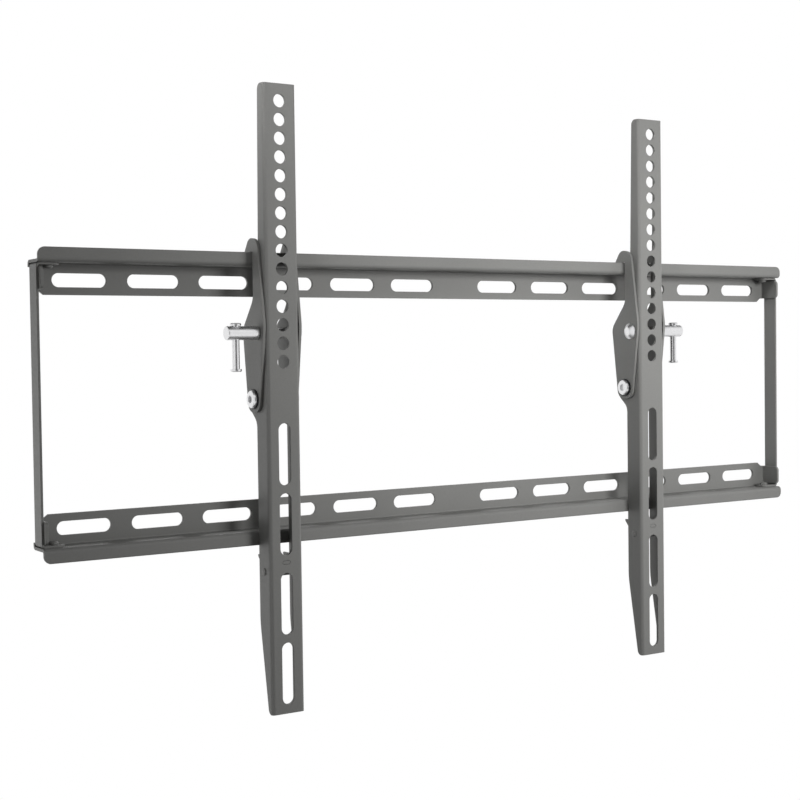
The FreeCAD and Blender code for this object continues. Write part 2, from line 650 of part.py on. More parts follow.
def make_arm(label, sign):
    """Channel that carries the screen, with ears for the pivot and the clamp's curved slot."""
    body = new_body(label)
    rear = f"-{PIVOT_BACK}"
    neck = "-(arm_front - arm_neck_depth)"
    make_channel(body, [
        ("-arm_front", "arm_rise"),
        ("-(arm_front - arm_top_depth)", "arm_rise", "arm_corner"),
        (neck, "ear_start", "ear_neck_sweep"),
        ("-ear_gap", "ear_heel", "ear_round"),
        (f"{rear} + ear_half", "-ear_drop", "ear_round / 2"),
        (rear, "-ear_flare", "ear_sweep"),
        (rear, "-(arm_drop - arm_taper)", "arm_taper"),
        ("-(arm_front - arm_end_depth)", "-arm_drop", "arm_corner"),
        ("-arm_front", "-arm_drop"),
    ], "arm_width", "arm_sheet", "arm_bend", ARM_INNER)
    hole = new_sketch(body, "hole", "XZ_Plane")
    draw_circle(hole, "0", "arm_rise - hole_end", "hole_diameter / 2")
    repeat(body, cut_through(body, hole), "Z_Axis", "hole_pitch", "hole_count", backwards=True)
    slots = new_sketch(body, "slots", "XZ_Plane")
    pairs = [(BRIDGE_TOP, "1", "arm_slot_length"), (BRIDGE_BOTTOM, "(-1)", LOWER_SLOT_LENGTH)]
    for edge, way, length in pairs:
        for place_in_pair in (0.5, 1.5):
            reach = f"({place_in_pair} * {length} + {int(place_in_pair)} * arm_slot_bridge)"
            draw_slot(slots, "0", f"{edge} + {way} * {reach}", length, "arm_slot_width", upright=True)
    cut_through(body, slots)
    tab_slot = new_sketch(body, "tab_slot", "XZ_Plane")
    draw_slot(tab_slot, "0", f"{CATCH_TOP} - tab_drop", "tab_width + 2 * tab_clearance",
              "tab_height + 2 * tab_clearance", upright=False)
    cut_through(body, tab_slot)
    turning = new_sketch(body, "turning", "YZ_Plane")
    draw_circle(turning, rear, "0", "pivot_diameter / 2 + pivot_clearance")
    draw_curved_slot(turning, (rear, "0"), "clamp_reach", "(clamp_diameter / 2 + clamp_slack)",
                     ("(tilt_travel - clamp_lean)", "(-clamp_lean)"))
    cut_through(body, turning)
    rivets = new_sketch(body, "rivet_holes", "YZ_Plane")
    draw_circle(rivets, f"-({PIVOT_BACK} + rivet_inset)", f"{CATCH_TOP} - rivet_drop",
                "rivet_diameter / 2 + tab_clearance")
    cut_through(body, rivets)
    put(body, f"{sign} * arm_offset", "0", "0")
    return keep(body)


def make_catch(label, sign):
    """Folded catch inside the arm: a tab in the arm's front and a tooth behind each flange."""
    body = new_body(label)
    rear = f"-{PIVOT_BACK}"
    width = "(arm_width - 2 * arm_sheet - 2 * catch_clearance)"
    make_channel(body, [
        (f"-{ARM_INNER}", CATCH_TOP),
        (f"{rear} + catch_reach", CATCH_TOP),
        (f"{rear} + catch_reach", f"{CATCH_TOP} - tooth_tip"),
        (rear, f"{CATCH_TOP} - tooth_slope"),
        (f"{rear} - cheek_front", f"{CATCH_TOP} - catch_cheek"),
        (f"{rear} - cheek_front - cheek_run", f"{CATCH_TOP} - catch_cheek"),
        (f"-{ARM_INNER}", f"{CATCH_TOP} - catch_base"),
    ], width, "catch_sheet", "bend_radius", f"({ARM_INNER} - catch_sheet)")
    tab = new_sketch(body, "tab", "XZ_Plane", f"{ARM_INNER} - catch_sheet")
    draw_slot(tab, "0", f"{CATCH_TOP} - tab_drop", "tab_width", "tab_height", upright=False)
    pad(body, tab, "catch_sheet + arm_sheet")
    holes = new_sketch(body, "rivet_holes", "YZ_Plane")
    draw_circle(holes, f"{rear} - rivet_inset", f"{CATCH_TOP} - rivet_drop",
                "rivet_diameter / 2 + tab_clearance")
    cut_through(body, holes)
    put(body, f"{sign} * arm_offset", "0", "0")
    return keep(body)


def make_catch_rivets(label, sign):
    """One rivet through each flange and cheek, headed on both sides."""
    grip = "(arm_sheet + catch_clearance + catch_sheet)"
    rivets = []
    for side, out in SIDES:
        rivet = new_body(f"{label}_{side}")
        turn(rivet, [
            (f"-{grip} - rivet_head_height", "0"),
            ("rivet_head_height", "0"),
            ("rivet_head_height", "rivet_head / 2", "rivet_head_height / 2"),
            ("0", "rivet_head / 2"),
            ("0", "rivet_diameter / 2"),
            (f"-{grip}", "rivet_diameter / 2"),
            (f"-{grip}", "rivet_head / 2"),
            (f"-{grip} - rivet_head_height", "rivet_head / 2", "rivet_head_height / 2"),
        ])
        put(rivet, f"{sign} * arm_offset + {out} * {HALF_WIDTH}", f"({PIVOT_BACK} + rivet_inset)",
            f"{CATCH_TOP} - rivet_drop", sideways(out))
        rivets.append(rivet)
    group(label, rivets)


# Hooks

def make_hook_plate(label, sign, out):
    """Flat plate that hangs on the upper lip and carries the pivot and the clamp."""
    body = new_body(label)
    profile = new_sketch(body, "profile", "YZ_Plane")
    notch = "-(rail_depth + notch_gap)"
    finger = f"-({FINGER_INNER} - finger_lean)"
    draw_outline(profile, [
        (notch, SEAT, "notch_corner"),
        (notch, "shoulder_height", "shoulder_radius"),
        ("-heel_gap", "heel_height", "heel_radius"),
        (f"-{PIVOT_BACK} + toe_half", "-toe_drop", "toe_radius"),
        (f"-{PIVOT_BACK} - toe_half", "-toe_drop", "toe_radius"),
        ("-(arm_front - peak_inset)", "peak_height", "peak_radius"),
        ("-(rail_depth + crown_front)", f"{LIP_TOP} + crown_rise - crown_drop", "crown_front_radius"),
        ("-(rail_depth - crown_back)", f"{LIP_TOP} + crown_rise", "crown_rear_radius"),
        (f"{finger} + finger_width", f"{SEAT} - finger_drop + finger_rise", "finger_corner"),
        (finger, f"{SEAT} - finger_drop", "notch_corner"),
        (f"-{FINGER_INNER}", SEAT, "notch_corner"),
    ])
    draw_circle(profile, f"-{PIVOT_BACK}", "0", "pivot_diameter / 2 + pivot_clearance")
    draw_circle(profile, f"-{CLAMP_BACK}", CLAMP_HEIGHT, "clamp_diameter / 2 + screw_clearance")
    pad(body, profile, "plate_sheet")
    face = PLATE_INNER if out > 0 else f"-{PLATE_OUTER}"
    put(body, f"{sign} * arm_offset + {face}", "0", "0")
    return keep(body)


def head_outline(length, radius):
    """Button head beyond the bearing face at zero, with a domed top, after a shank."""
    return [
        (f"-({length})", radius),
        ("0", radius),
        ("0", "pivot_head / 2"),
        ("pivot_head_height", "pivot_head / 2", "pivot_head_height - pivot_head_rim"),
        ("pivot_head_height", "0"),
    ]


def cut_socket(body):
    socket = new_sketch(body, "socket", "YZ_Plane", "pivot_head_height")
    draw_hexagon(socket, "socket_flats")
    cut_blind(body, socket, "socket_depth")


def make_pivot(side, sign):
    """Socket screw from the inner side, threaded into a headed sleeve from the outer side."""
    bearing = f"({PLATE_OUTER} + washer_thickness)"
    grip = f"(2 * {bearing})"
    bolt = new_body(f"{side}_pivot_bolt")
    turn(bolt, [("-pivot_thread", "0")] + head_outline("pivot_thread", "pivot_screw / 2"))
    cut_socket(bolt)
    put(bolt, f"{sign} * (arm_offset - {bearing})", PIVOT_BACK, "0", sideways(-sign))
    keep(bolt)
    sleeve = new_body(f"{side}_pivot_sleeve_nut")
    bore = "pivot_screw / 2 + screw_clearance"
    length = f"{grip} - sleeve_slack"
    floor = f"-({grip} - pivot_thread - margin)"
    turn(sleeve, [(f"-({length})", bore)] + head_outline(length, "pivot_diameter / 2")
         + [(floor, "0"), (floor, bore)])
    cut_socket(sleeve)
    put(sleeve, f"{sign} * (arm_offset + {bearing})", PIVOT_BACK, "0", sideways(sign))
    keep(sleeve)


def make_washers(label, sign):
    """A washer under each of the two pivot heads."""
    washers = []
    for side, out in SIDES:
        washer = new_body(f"{label}_{side}")
        face = new_sketch(washer, "face", "YZ_Plane")
        draw_circle(face, "0", "0", "washer_diameter / 2")
        draw_circle(face, "0", "0", "pivot_diameter / 2 + screw_clearance")
        pad(washer, face, "washer_thickness")
        put(washer, f"{sign} * arm_offset + {out} * {PLATE_OUTER}", PIVOT_BACK, "0", sideways(out))
        washers.append(washer)
    group(label, washers)


def make_clamp(side, sign):
    """Domed bolt from the inner side, long sleeve nut and tommy bar on the outer side."""
    bolt = new_body(f"{side}_clamp_bolt")
    shank = f"(2 * {PLATE_OUTER} + clamp_thread)"
    turn(bolt, [
        (f"-{shank}", "0"),
        (f"-{shank}", "clamp_diameter / 2"),
        ("0", "clamp_diameter / 2"),
        ("0", "clamp_head / 2"),
        ("clamp_head_height / 4", "clamp_head / 2"),
        ("clamp_head_height", "clamp_head / 4", "clamp_head / 4"),
        ("clamp_head_height", "0"),
    ])
    put(bolt, f"{sign} * (arm_offset - {PLATE_OUTER})", CLAMP_BACK, CLAMP_HEIGHT, sideways(-sign))
    keep(bolt)
    handle = new_body(f"{side}_clamp_handle")
    bore = "clamp_diameter / 2 + screw_clearance"
    turn(handle, [
        ("handle_slack", bore),
        ("clamp_thread + screw_clearance", bore),
        ("clamp_thread + screw_clearance", "0"),
        ("handle_length", "0"),
        ("handle_length", "handle_diameter / 2", "handle_edge"),
        ("handle_slack", "handle_diameter / 2", "handle_edge"),
    ])
    cross = new_sketch(handle, "cross_hole", "XY_Plane")
    draw_circle(cross, "tommy_reach", "0", "tommy_diameter / 2 + tommy_clearance")
    cut_through(handle, cross)
    put(handle, f"{sign} * (arm_offset + {PLATE_OUTER})", CLAMP_BACK, CLAMP_HEIGHT, sideways(sign))
    keep(handle)
    bar = new_body(f"{side}_tommy_bar")
    turn(bar, [
        ("-tommy_length - tommy_head_height", "0"),
        ("tommy_head_height", "0"),
        ("tommy_head_height", "tommy_head / 2", "tommy_head_height / 2"),
        ("0", "tommy_head / 2"),
        ("0", "tommy_diameter / 2"),
        ("-tommy_length", "tommy_diameter / 2"),
        ("-tommy_length", "tommy_head / 2"),
        ("-tommy_length - tommy_head_height", "tommy_head / 2", "tommy_head_height / 2"),
    ])
    put(bar, f"{sign} * (arm_offset + {PLATE_OUTER} + tommy_reach)", CLAMP_BACK,
        f"{CLAMP_HEIGHT} + handle_diameter / 2 + tommy_rest", FreeCAD.Vector(0, 0, 1))
    keep(bar)


def make_side(side, sign):
    """One arm with its hooks, pivot, clamp and catch."""
    make_arm(f"{side}_arm", sign)
    make_catch(f"{side}_safety_catch", sign)
    make_catch_rivets(f"{side}_catch_rivets", sign)
    make_hook_plate(f"{side}_outer_hook_plate", sign, sign)
    make_hook_plate(f"{side}_inner_hook_plate", sign, -sign)
    make_pivot(side, sign)
    make_washers(f"{side}_pivot_washers", sign)
    make_clamp(side, sign)


def check_document():
    """Stop if any object failed or any sub-part has no sound shape."""
    for item in doc.Objects:
        if "Invalid" in item.State or "Error" in item.State:
            raise RuntimeError(f"{item.Label} failed: {item.State}")
    for item in sub_parts:
        if item.Shape.isNull() or not item.Shape.isValid() or not item.Shape.Solids:
            raise RuntimeError(f"{item.Label} has no sound shape")


for rail_name, rail_sign in RAILS:
    make_rail(f"{rail_name}_rail", rail_sign)
for side_name, side_sign in SIDES:
    make_end_bar(f"{side_name}_end_bar", side_sign)
make_corner_fasteners()
for side_name, side_sign in SIDES:
    make_side(side_name, side_sign)
doc.recompute()
check_document()

os.makedirs("parts", exist_ok=True)
for sub_part in sub_parts:
    sub_part.Shape.exportStep(os.path.join("parts", f"{sub_part.Label}.step"))
print(len(sub_parts), "sub-parts written")
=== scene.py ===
"""Looks of a tilting wall mount for a flat screen.

The folded sheet steel gets its satin grey powder coat, and the turned hardware its bright zinc.
The small fasteners are made again in detail and coated with the sheet that they hold. It all hangs
in a white studio, seen from the left and a little above the pivots.
"""
import math

import bpy
from bpy.props import FloatProperty, FloatVectorProperty, PointerProperty
from mathutils import Matrix, Vector


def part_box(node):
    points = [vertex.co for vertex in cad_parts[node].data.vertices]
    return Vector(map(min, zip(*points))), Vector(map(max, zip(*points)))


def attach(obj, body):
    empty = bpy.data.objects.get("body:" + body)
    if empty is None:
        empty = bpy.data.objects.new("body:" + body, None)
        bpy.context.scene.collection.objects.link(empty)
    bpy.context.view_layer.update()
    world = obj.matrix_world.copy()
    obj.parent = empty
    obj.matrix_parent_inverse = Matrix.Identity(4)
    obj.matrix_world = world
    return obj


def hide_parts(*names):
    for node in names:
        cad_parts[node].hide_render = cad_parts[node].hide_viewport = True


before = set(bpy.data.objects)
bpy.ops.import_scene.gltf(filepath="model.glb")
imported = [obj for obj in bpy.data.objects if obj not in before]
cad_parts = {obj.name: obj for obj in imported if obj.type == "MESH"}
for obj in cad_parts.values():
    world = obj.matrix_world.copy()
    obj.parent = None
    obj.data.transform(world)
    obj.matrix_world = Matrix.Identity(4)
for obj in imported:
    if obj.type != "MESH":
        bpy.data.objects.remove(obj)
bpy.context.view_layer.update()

bl_info = {
    "name": "Wall mount looks",
    "version": (1, 0, 0),
    "blender": (4, 5, 0),
    "location": "3D View > Sidebar > Wall mount",
    "description": "Coats, plates and lights a tilting wall mount",
    "category": "Object",
}

MM = 0.001
SIDES = ("left", "right")

# Patterns of the finishes. Noise stays mostly within its span.
NOISE_SPAN = {"From Min": 0.3, "From Max": 0.7}
SPECKLES_PER_GRAIN = 2.5
DRIFT_WIDTH = 70 * MM
PEEL_HEIGHT = 0.2 * MM
HAZE_WIDTH = 3 * MM
MARK_DEPTH = 0.05 * MM
STAIN_WIDTH = 1.5 * MM

# Where the painted edge highlight starts and where it is brightest, as cosines of the turn
EDGE_HIGHLIGHT_SPAN = {"From Min": 0.98, "From Max": 0.8}

# Facets of the fasteners, and the sharpest fold that is still shaded smooth
HEAD_SIDES = 48
HEAD_RINGS = 10
SHANK_SIDES = 32
THREAD_RINGS = 58
CHAMFER_SIDES = 64
SMOOTH_FOLD = math.radians(32)

# Shares of a head's height: its straight rim, the floor of the cross recess, and the height of the wings
# that cut it, which reach over the head's top
RIM_HEIGHT = 0.4
RECESS_FLOOR = 0.35
WING_HEIGHT = 0.7

# Shares of a head's width: how far the cross recess reaches out, at its top and at its floor
RECESS_TOP = 0.29
RECESS_FOOT = 0.13

# Thickness of the wings against their span, and their stretch along the screw
WING_THICKNESS = 0.32
WING_STRETCH = 1.02

# Nuts: radius of the flat top against the flats, run of the chamfer against its drop, play on the thread
NUT_TOP = 0.48
CHAMFER_RUN = math.sqrt(3)
NUT_PLAY = 0.1 * MM

# Width of the camera's sensor, in millimetres
SENSOR_WIDTH = 36

# Where the room's ceiling and its dark bay fade out, as cosines from the middle of each
CEILING_SPAN = {"From Min": 0.85, "From Max": 0.65}
BAY_SPAN = {"From Min": 0.93, "From Max": 0.82}

# Share of white in the floor that the eye sees, and how much of that metal shows
FLOOR_GLOW = 0.95
FLOOR_MIRRORED = 0.2


def linear(code):
    """Linear colour of an sRGB hex value."""
    channels = [int(code[start:start + 2], 16) / 255 for start in (1, 3, 5)]
    return tuple(c / 12.92 if c <= 0.04045 else ((c + 0.055) / 1.055) ** 2.4 for c in channels)


class WallMountFinishes(bpy.types.PropertyGroup):
    """Colours and grain of the surfaces."""
    coat_colour: FloatVectorProperty(
        name="Powder coat", description="Grey of the powder coat",
        subtype="COLOR", size=3, min=0, max=1, default=linear("#757573"))
    # Painted highlight: the paler grey that is painted on the rounded edges of the sheet
    edge_highlight_colour: FloatVectorProperty(
        name="Coat on edges", description="Grey of the coat where it thins over an edge",
        subtype="COLOR", size=3, min=0, max=1, default=linear("#7d7d7b"))
    coat_grain: FloatProperty(
        name="Coat grain", description="Width of one bump of the powder coat",
        unit="LENGTH", subtype="DISTANCE", default=1.6 * MM)
    edge_radius: FloatProperty(
        name="Edge radius", description="How far the coat rounds the edges of the sheet",
        unit="LENGTH", subtype="DISTANCE", default=0.5 * MM)
    zinc_colour: FloatVectorProperty(
        name="Zinc", description="Colour of the zinc plate",
        subtype="COLOR", size=3, min=0, max=1, default=linear("#e6e6e7"))
    turning_pitch: FloatProperty(
        name="Turning marks", description="Distance between the marks that the lathe left",
        unit="LENGTH", subtype="DISTANCE", default=0.4 * MM)
    # Painted shade: the washers are made nearly black, which also paints the dark shade ring beside each
    # pivot head
    washer_black_and_shade_colour: FloatVectorProperty(
        name="Black oxide", description="Colour of the blackened washers",
        subtype="COLOR", size=3, min=0, max=1, default=linear("#232325"))


class WallMountFasteners(bpy.types.PropertyGroup):
    """Sizes of the small fasteners."""
    screw_head: FloatProperty(
        name="Screw head", description="Corner screws' heads, across",
        unit="LENGTH", subtype="DISTANCE", default=6.4 * MM)
    screw_head_height: FloatProperty(
        name="Screw head height", description="Corner screws' heads",
        unit="LENGTH", subtype="DISTANCE", default=2.2 * MM)
    screw_shank: FloatProperty(
        name="Screw shank", description="Corner screws' thread, across",
        unit="LENGTH", subtype="DISTANCE", default=4 * MM)
    screw_length: FloatProperty(
        name="Screw length", description="Corner screws under the head",
        unit="LENGTH", subtype="DISTANCE", default=6.7 * MM)
    screw_pitch: FloatProperty(
        name="Thread pitch", description="Corner screws' thread",
        unit="LENGTH", subtype="DISTANCE", default=0.7 * MM)
    nut_flats: FloatProperty(
        name="Nut", description="Corner nuts, across the flats",
        unit="LENGTH", subtype="DISTANCE", default=7 * MM)
    nut_height: FloatProperty(
        name="Nut height", description="Corner nuts",
        unit="LENGTH", subtype="DISTANCE", default=2.6 * MM)
    rivet_head: FloatProperty(
        name="Rivet head", description="Catch rivets' heads, across",
        unit="LENGTH", subtype="DISTANCE", default=5 * MM)
    rivet_head_height: FloatProperty(
        name="Rivet head height", description="Catch rivets' heads",
        unit="LENGTH", subtype="DISTANCE", default=0.9 * MM)
    rivet_shank: FloatProperty(
        name="Rivet shank", description="Catch rivets, across",
        unit="LENGTH", subtype="DISTANCE", default=3 * MM)
    rivet_grip: FloatProperty(
        name="Rivet grip", description="Arm and catch between a rivet's two heads",
        unit="LENGTH", subtype="DISTANCE", default=3.6 * MM)


class WallMountStage(bpy.types.PropertyGroup):
    """Camera, floor and lights."""
    camera_place: FloatVectorProperty(
        name="Camera", description="Where the camera stands",
        unit="LENGTH", subtype="TRANSLATION", size=3, default=(-0.6436, -0.9179, 0.0306))
    camera_yaw: FloatProperty(
        name="Camera yaw", description="Turn of the camera to the right of straight ahead",
        unit="ROTATION", subtype="ANGLE", default=math.radians(32.906))
    camera_pitch: FloatProperty(
        name="Camera pitch", description="Tilt of the camera below level",
        unit="ROTATION", subtype="ANGLE", default=math.radians(1.849))
    camera_roll: FloatProperty(
        name="Camera roll", description="Turn of the camera about its own view",
        unit="ROTATION", subtype="ANGLE", default=math.radians(-0.772))
    lens: FloatProperty(
        name="Lens", description="Focal length on a 36 mm sensor",
        unit="CAMERA", default=66.8)
    floor_height: FloatProperty(
        name="Floor", description="Height of the floor, from the pivots",
        unit="LENGTH", subtype="DISTANCE", default=-0.6)
    floor_reach: FloatProperty(
        name="Floor reach", description="Middle of the floor to its sides",
        unit="LENGTH", subtype="DISTANCE", default=0.5)
    floor_colour: FloatVectorProperty(
        name="Floor paint", description="Grey of the floor as it takes the light",
        subtype="COLOR", size=3, min=0, max=1, default=linear("#9a9a98"))
    bay_turn: FloatProperty(
        name="Dark bay", description="Turn of the dim part of the room to the left of straight in front",
        unit="ROTATION", subtype="ANGLE", default=math.radians(14))
    ambient: FloatProperty(
        name="Ambient light", description="Strength of the white room as a light", min=0, default=0.155)
    key_power: FloatProperty(
        name="Key light", description="Soft light close by in front of the right half",
        unit="POWER", min=0, default=1.39)
    right_power: FloatProperty(
        name="Right light", description="Soft light close by at the right end",
        unit="POWER", min=0, default=0.21)
    left_power: FloatProperty(
        name="Left light", description="Soft light close by above the left end",
        unit="POWER", min=0, default=0.52)
    rim_power: FloatProperty(
        name="Rim light", description="Soft light behind the left end, on the sides of the arms",
        unit="POWER", min=0, default=0.17)
    back_power: FloatProperty(
        name="Back light", description="Soft light on the side that faces the wall",
        unit="POWER", min=0, default=1.0)


def add_node(tree, kind, inputs=None, **settings):
    """Add a node with its settings. Each input gets a value, an output or a list of outputs."""
    node = tree.nodes.new(kind)
    for name, value in settings.items():
        setattr(node, name, value)
    for name, value in (inputs or {}).items():
        sources = value if isinstance(value, list) else [value]
        if isinstance(sources[0], bpy.types.NodeSocket):
            for source in sources:
                tree.links.new(source, node.inputs[name])
        else:
            node.inputs[name].default_value = value
    return node


def new_material(name):
    """Empty material, and its tree."""
    material = bpy.data.materials.new(name)
    material.use_nodes = True
    material.node_tree.nodes.clear()
    return material, material.node_tree


def give(material, names):
    """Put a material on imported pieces."""
    for name in names:
        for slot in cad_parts[name].material_slots:
            slot.material = material


# Finishes

def powder_coated_steel(finishes):
    """Sheet steel, sprayed with powder and baked. A fine orange peel breaks up the satin sheen, the
    tone drifts slowly, and the rounded edges of the sheet are painted paler, as a painted highlight."""
    material, tree = new_material("powder_coated_steel")
    place = add_node(tree, "ShaderNodeTexCoord").outputs["Object"]
    # The real peel is under a millimetre wide, and is drawn a little coarser so that it shows.
    peel = add_node(tree, "ShaderNodeTexNoise", {
        "Vector": place, "Scale": 1 / finishes.coat_grain, "Detail": 2.0}).outputs[0]
    speckle = add_node(tree, "ShaderNodeTexNoise", {
        "Vector": place, "Scale": SPECKLES_PER_GRAIN / finishes.coat_grain, "Detail": 1.0}).outputs[0]
    drift = add_node(tree, "ShaderNodeTexNoise", {
        "Vector": place, "Scale": 1 / DRIFT_WIDTH, "Detail": 3.0}).outputs[0]
    speckled = add_node(tree, "ShaderNodeMapRange", {
        "Value": speckle, **NOISE_SPAN, "To Min": 0.95, "To Max": 1.05})
    drifted = add_node(tree, "ShaderNodeMapRange", {
        "Value": drift, **NOISE_SPAN, "To Min": 0.97, "To Max": 1.03})
    tone = add_node(tree, "ShaderNodeMath", {
        0: speckled.outputs[0], 1: drifted.outputs[0]}, operation="MULTIPLY")
    rounded = add_node(tree, "ShaderNodeBevel", {"Radius": finishes.edge_radius}, samples=6)
    flat = add_node(tree, "ShaderNodeNewGeometry").outputs["True Normal"]
    likeness = add_node(tree, "ShaderNodeVectorMath", {
        0: rounded.outputs[0], 1: flat}, operation="DOT_PRODUCT")
    # Painted highlight: the rounded edges get the paler grey, as if they caught the light
    edge = add_node(tree, "ShaderNodeMapRange", {
        "Value": likeness.outputs["Value"], **EDGE_HIGHLIGHT_SPAN, "To Min": 0.0, "To Max": 1.0})
    colour = add_node(tree, "ShaderNodeMix", {
        0: edge.outputs[0], 6: (*finishes.coat_colour, 1), 7: (*finishes.edge_highlight_colour, 1),
    }, data_type="RGBA")
    toned = add_node(tree, "ShaderNodeVectorMath", {
        0: colour.outputs[2], "Scale": tone.outputs[0]}, operation="SCALE")
    roughness = add_node(tree, "ShaderNodeMapRange", {
        "Value": peel, **NOISE_SPAN, "To Min": 0.42, "To Max": 0.52})
    bump = add_node(tree, "ShaderNodeBump", {
        "Height": peel, "Normal": rounded.outputs[0], "Strength": 0.12, "Distance": PEEL_HEIGHT})
    coat = add_node(tree, "ShaderNodeBsdfPrincipled", {
        "Base Color": toned.outputs[0], "Roughness": roughness.outputs[0],
        "Normal": bump.outputs[0], "IOR": 1.5})
    add_node(tree, "ShaderNodeOutputMaterial", {"Surface": coat.outputs[0]})
    return material


def zinc_plate(tree, finishes, along):
    """Shader of bright zinc over turned steel: near white metal, with faint rings from the lathe
    that draw the highlights out, and a slight haze of uneven plating."""
    place = add_node(tree, "ShaderNodeTexCoord").outputs["Object"]
    marks = add_node(tree, "ShaderNodeTexNoise", {
        "W": along, "Scale": 1 / finishes.turning_pitch, "Detail": 2.0}, noise_dimensions="1D")
    haze = add_node(tree, "ShaderNodeTexNoise", {
        "Vector": place, "Scale": 1 / HAZE_WIDTH, "Detail": 3.0})
    roughness = add_node(tree, "ShaderNodeMapRange", {
        "Value": haze.outputs[0], **NOISE_SPAN, "To Min": 0.24, "To Max": 0.34})
    bump = add_node(tree, "ShaderNodeBump", {
        "Height": marks.outputs[0], "Strength": 0.03, "Distance": MARK_DEPTH})
    zinc = add_node(tree, "ShaderNodeBsdfPrincipled", {
        "Base Color": (*finishes.zinc_colour, 1), "Metallic": 1.0,
        "Roughness": roughness.outputs[0], "Normal": bump.outputs[0]})
    add_node(tree, "ShaderNodeOutputMaterial", {"Surface": zinc.outputs[0]})


def turned_zinc(name, finishes, centre, axis):
    """Zinc plate on a piece that was turned about an axis through a point."""
    material, tree = new_material(name)
    place = add_node(tree, "ShaderNodeTexCoord").outputs["Object"]
    own = add_node(tree, "ShaderNodeMapping", {
        "Vector": place, "Location": tuple(-value for value in centre)}).outputs[0]
    length = add_node(tree, "ShaderNodeVectorMath", {0: own, 1: axis}, operation="DOT_PRODUCT")
    across = add_node(tree, "ShaderNodeVectorMath", {
        0: own, 1: tuple(1 - value for value in axis)}, operation="MULTIPLY")
    radius = add_node(tree, "ShaderNodeVectorMath", {0: across.outputs[0]}, operation="LENGTH")
    along = add_node(tree, "ShaderNodeMath", {
        0: length.outputs["Value"], 1: radius.outputs["Value"]}, operation="ADD")
    zinc_plate(tree, finishes, along.outputs[0])
    return material


def black_washer_and_shade_steel(finishes):
    """Nearly black steel with a dull metal sheen, for the washers; the black also paints the shade that
    falls beside each pivot head.
    """
    material, tree = new_material("black_washer_and_shade_steel")
    place = add_node(tree, "ShaderNodeTexCoord").outputs["Object"]
    stain = add_node(tree, "ShaderNodeTexNoise", {
        "Vector": place, "Scale": 1 / STAIN_WIDTH, "Detail": 3.0})
    roughness = add_node(tree, "ShaderNodeMapRange", {
        "Value": stain.outputs[0], **NOISE_SPAN, "To Min": 0.32, "To Max": 0.48})
    oxide = add_node(tree, "ShaderNodeBsdfPrincipled", {
        "Base Color": (*finishes.washer_black_and_shade_colour, 1), "Metallic": 0.6, "Roughness": roughness.outputs[0]})
    add_node(tree, "ShaderNodeOutputMaterial", {"Surface": oxide.outputs[0]})
    return material


# Shapes of the small fasteners. Each stands on its bearing face, with its head along +Z.

def new_shape(name, sizes):
    """Geometry tree with points, named sizes and a material as inputs."""
    tree = bpy.data.node_groups.new(name, "GeometryNodeTree")
    tree.interface.new_socket("Points", in_out="INPUT", socket_type="NodeSocketGeometry")
    for label, size in sizes.items():
        socket = tree.interface.new_socket(label, in_out="INPUT", socket_type="NodeSocketFloat")
        socket.subtype = "DISTANCE"
        socket.default_value = size
    tree.interface.new_socket("Material", in_out="INPUT", socket_type="NodeSocketMaterial")
    tree.interface.new_socket("Geometry", in_out="OUTPUT", socket_type="NodeSocketGeometry")
    return tree, add_node(tree, "NodeGroupInput").outputs


def domed_head(tree, across, height):
    """Disc with a straight rim and a domed top."""
    radius = add_node(tree, "ShaderNodeMath", {0: across, 1: 0.5}, operation="MULTIPLY").outputs[0]
    rim = add_node(tree, "ShaderNodeMath", {0: height, 1: RIM_HEIGHT}, operation="MULTIPLY").outputs[0]
    dome = add_node(tree, "ShaderNodeMath", {0: height, 1: rim}, operation="SUBTRACT").outputs[0]
    disc = add_node(tree, "GeometryNodeMeshCylinder", {
        "Vertices": HEAD_SIDES, "Fill Segments": HEAD_RINGS, "Radius": radius, "Depth": rim,
    }, fill_type="TRIANGLE_FAN")
    place = add_node(tree, "GeometryNodeInputPosition").outputs[0]
    flat = add_node(tree, "ShaderNodeVectorMath", {0: place, 1: (1, 1, 0)}, operation="MULTIPLY")
    out = add_node(tree, "ShaderNodeVectorMath", {0: flat.outputs[0]}, operation="LENGTH")
    share = add_node(tree, "ShaderNodeMath", {
        0: out.outputs["Value"], 1: radius}, operation="DIVIDE", use_clamp=True)
    square = add_node(tree, "ShaderNodeMath", {
        0: share.outputs[0], 1: share.outputs[0]}, operation="MULTIPLY")
    rest = add_node(tree, "ShaderNodeMath", {
        0: 1.0, 1: square.outputs[0]}, operation="SUBTRACT", use_clamp=True)
    curve = add_node(tree, "ShaderNodeMath", {0: rest.outputs[0]}, operation="SQRT")
    rise = add_node(tree, "ShaderNodeMath", {0: curve.outputs[0], 1: dome}, operation="MULTIPLY")
    lift = add_node(tree, "ShaderNodeCombineXYZ", {"Z": rise.outputs[0]})
    domed = add_node(tree, "GeometryNodeSetPosition", {
        "Geometry": disc.outputs["Mesh"], "Selection": disc.outputs["Top"], "Offset": lift.outputs[0]})
    half_rim = add_node(tree, "ShaderNodeMath", {0: rim, 1: 0.5}, operation="MULTIPLY")
    stand = add_node(tree, "ShaderNodeCombineXYZ", {"Z": half_rim.outputs[0]})
    return add_node(tree, "GeometryNodeTransform", {
        "Geometry": domed.outputs[0], "Translation": stand.outputs[0]}).outputs[0]


def plain_shank(tree, across, length, rings):
    """Cylinder from the bearing face down, divided along its length."""
    radius = add_node(tree, "ShaderNodeMath", {0: across, 1: 0.5}, operation="MULTIPLY")
    shank = add_node(tree, "GeometryNodeMeshCylinder", {
        "Vertices": SHANK_SIDES, "Side Segments": rings, "Radius": radius.outputs[0], "Depth": length})
    half = add_node(tree, "ShaderNodeMath", {0: length, 1: -0.5}, operation="MULTIPLY")
    down = add_node(tree, "ShaderNodeCombineXYZ", {"Z": half.outputs[0]})
    return add_node(tree, "GeometryNodeTransform", {
        "Geometry": shank.outputs["Mesh"], "Translation": down.outputs[0]}).outputs[0]


